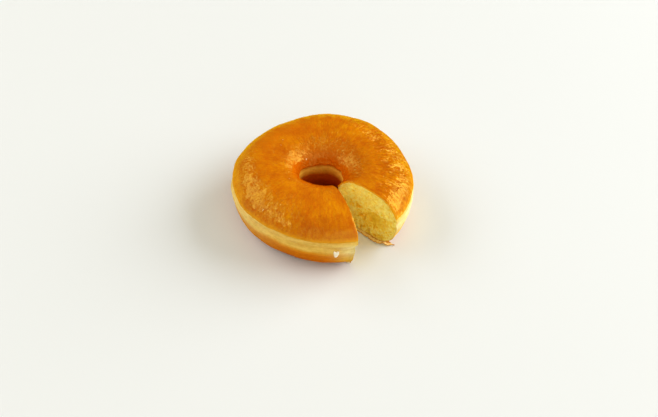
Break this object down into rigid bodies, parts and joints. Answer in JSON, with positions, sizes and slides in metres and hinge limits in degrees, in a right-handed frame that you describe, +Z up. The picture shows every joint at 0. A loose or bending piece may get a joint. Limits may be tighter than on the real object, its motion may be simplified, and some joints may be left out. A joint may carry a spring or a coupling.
{
  "type": "bitten doughnut",
  "caption": "Glazed ring doughnut with a narrow wedge missing, showing its crumb, and resting on its flat underside.",
  "frame": {"origin": "middle of the bounding box's foot, under the doughnut's hole, on the surface it rests on", "axes": "+Z up through the hole; +X and +Y lie flat, and the missing wedge opens between +X and -Y"},
  "size_m": [0.1026, 0.1038, 0.0351],
  "materials": {
    "golden_crust": "thin sugar glaze over a golden fried crust, with pale yellow crumb on the cut faces"
  },
  "bodies": {
    "root": {"doughnut": "golden_crust"}
  },
  "joints": []
}
